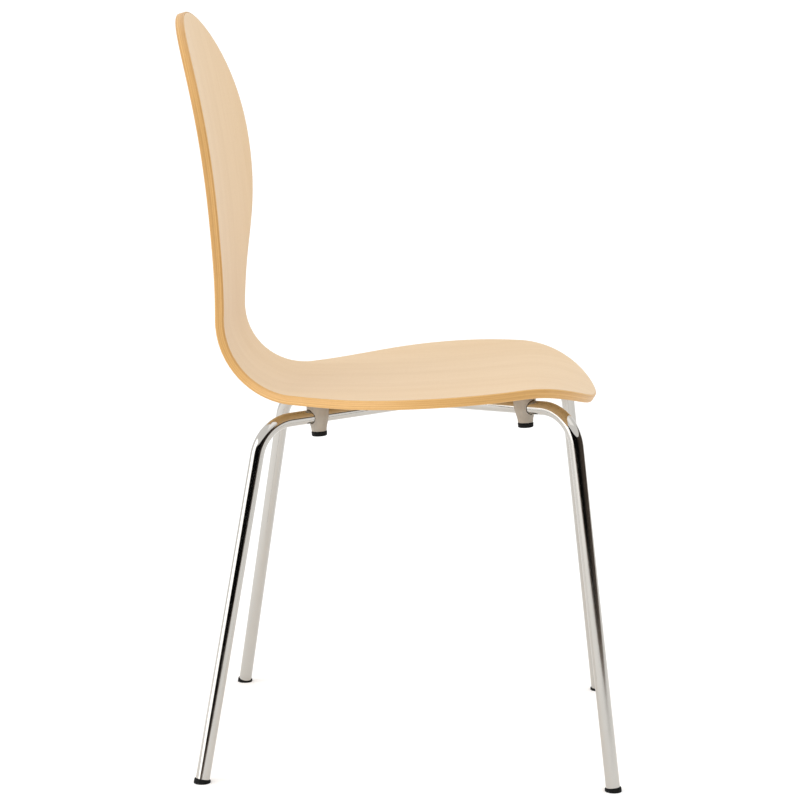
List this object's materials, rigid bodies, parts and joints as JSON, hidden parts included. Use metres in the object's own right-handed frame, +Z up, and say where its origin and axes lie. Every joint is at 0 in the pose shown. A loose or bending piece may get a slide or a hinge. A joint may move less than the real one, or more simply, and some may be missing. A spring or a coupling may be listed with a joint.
{
  "type": "stacking chair",
  "caption": "Stacking side chair: one moulded plywood shell with a narrow waist, on two bent chromed tube hoops with plastic spacers, stacking buffers and foot glides.",
  "frame": {"origin": "on the floor, at the middle of the chair's box", "axes": "+Z up, the chair faces -Y, the sitter's left is +X"},
  "size_m": [0.5162, 0.5216, 0.8597],
  "materials": {
    "plywood": "satin",
    "chrome": "polished",
    "spacer_plastic": "matte",
    "buffer_rubber": "matte",
    "glide_plastic": "matte",
    "screw_steel": "satin",
    "insert_brass": "satin"
  },
  "bodies": {
    "root": {"seat_shell": "plywood", "rear_hoop": "chrome", "front_hoop": "chrome", "centre_plate": "chrome", "spacer_rear_left": "spacer_plastic", "buffer_rear_left": "buffer_rubber", "glide_rear_left": "glide_plastic", "spacer_rear_right": "spacer_plastic", "buffer_rear_right": "buffer_rubber", "glide_rear_right": "glide_plastic", "spacer_front_left": "spacer_plastic", "buffer_front_left": "buffer_rubber", "glide_front_left": "glide_plastic", "spacer_front_right": "spacer_plastic", "buffer_front_right": "buffer_rubber", "glide_front_right": "glide_plastic", "plate_screws": "screw_steel", "spacer_screws": "screw_steel", "plate_inserts": "insert_brass", "spacer_inserts": "insert_brass"}
  },
  "joints": []
}
